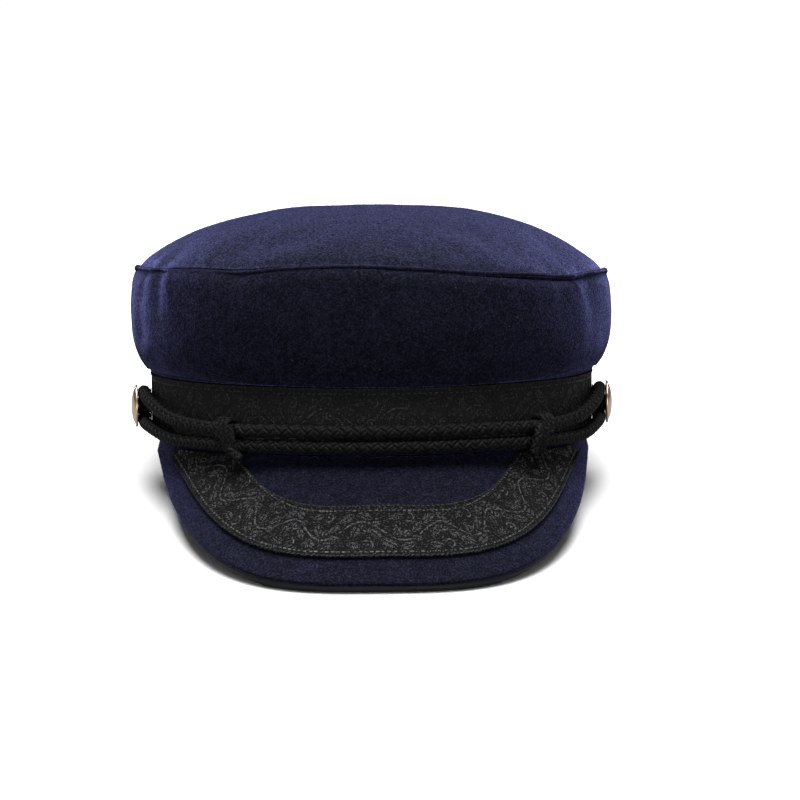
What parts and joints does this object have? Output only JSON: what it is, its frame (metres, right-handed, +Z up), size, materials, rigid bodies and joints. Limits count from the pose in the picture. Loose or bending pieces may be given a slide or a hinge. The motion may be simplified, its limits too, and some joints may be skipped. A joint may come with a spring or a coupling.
{
  "type": "sailor cap",
  "caption": "Navy wool sailor cap with a soft full crown, jacquard ribbon round the band and on the sloping peak, and a knotted braided cord held by domed side buttons.",
  "frame": {"origin": "centre of the cap's box at the level of the surface it rests on", "axes": "+Z up, -Y towards the front of the cap and its peak, +X to the side that is at the right in a view from the front"},
  "size_m": [0.1892, 0.2666, 0.114],
  "materials": {
    "navy_felt": "soft brushed wool felt with a short nap",
    "black_ribbon": "woven jacquard ribbon with satin leaves on a matt ground",
    "dark_lining": "smooth dark lining over a stiff board",
    "black_cord": "braided cord with a dull sheen",
    "gilt": "polished pale gilt"
  },
  "bodies": {
    "root": {"headband": "navy_felt", "band_ribbon": "black_ribbon", "crown_front": "navy_felt", "crown_back": "navy_felt", "crown_top": "navy_felt", "peak_cover": "navy_felt", "peak_board": "dark_lining", "peak_ribbon": "black_ribbon", "cord_upper": "black_cord", "cord_lower": "black_cord", "knot_left": "black_cord", "knot_right": "black_cord", "button_left": "gilt", "button_right": "gilt"}
  },
  "joints": []
}
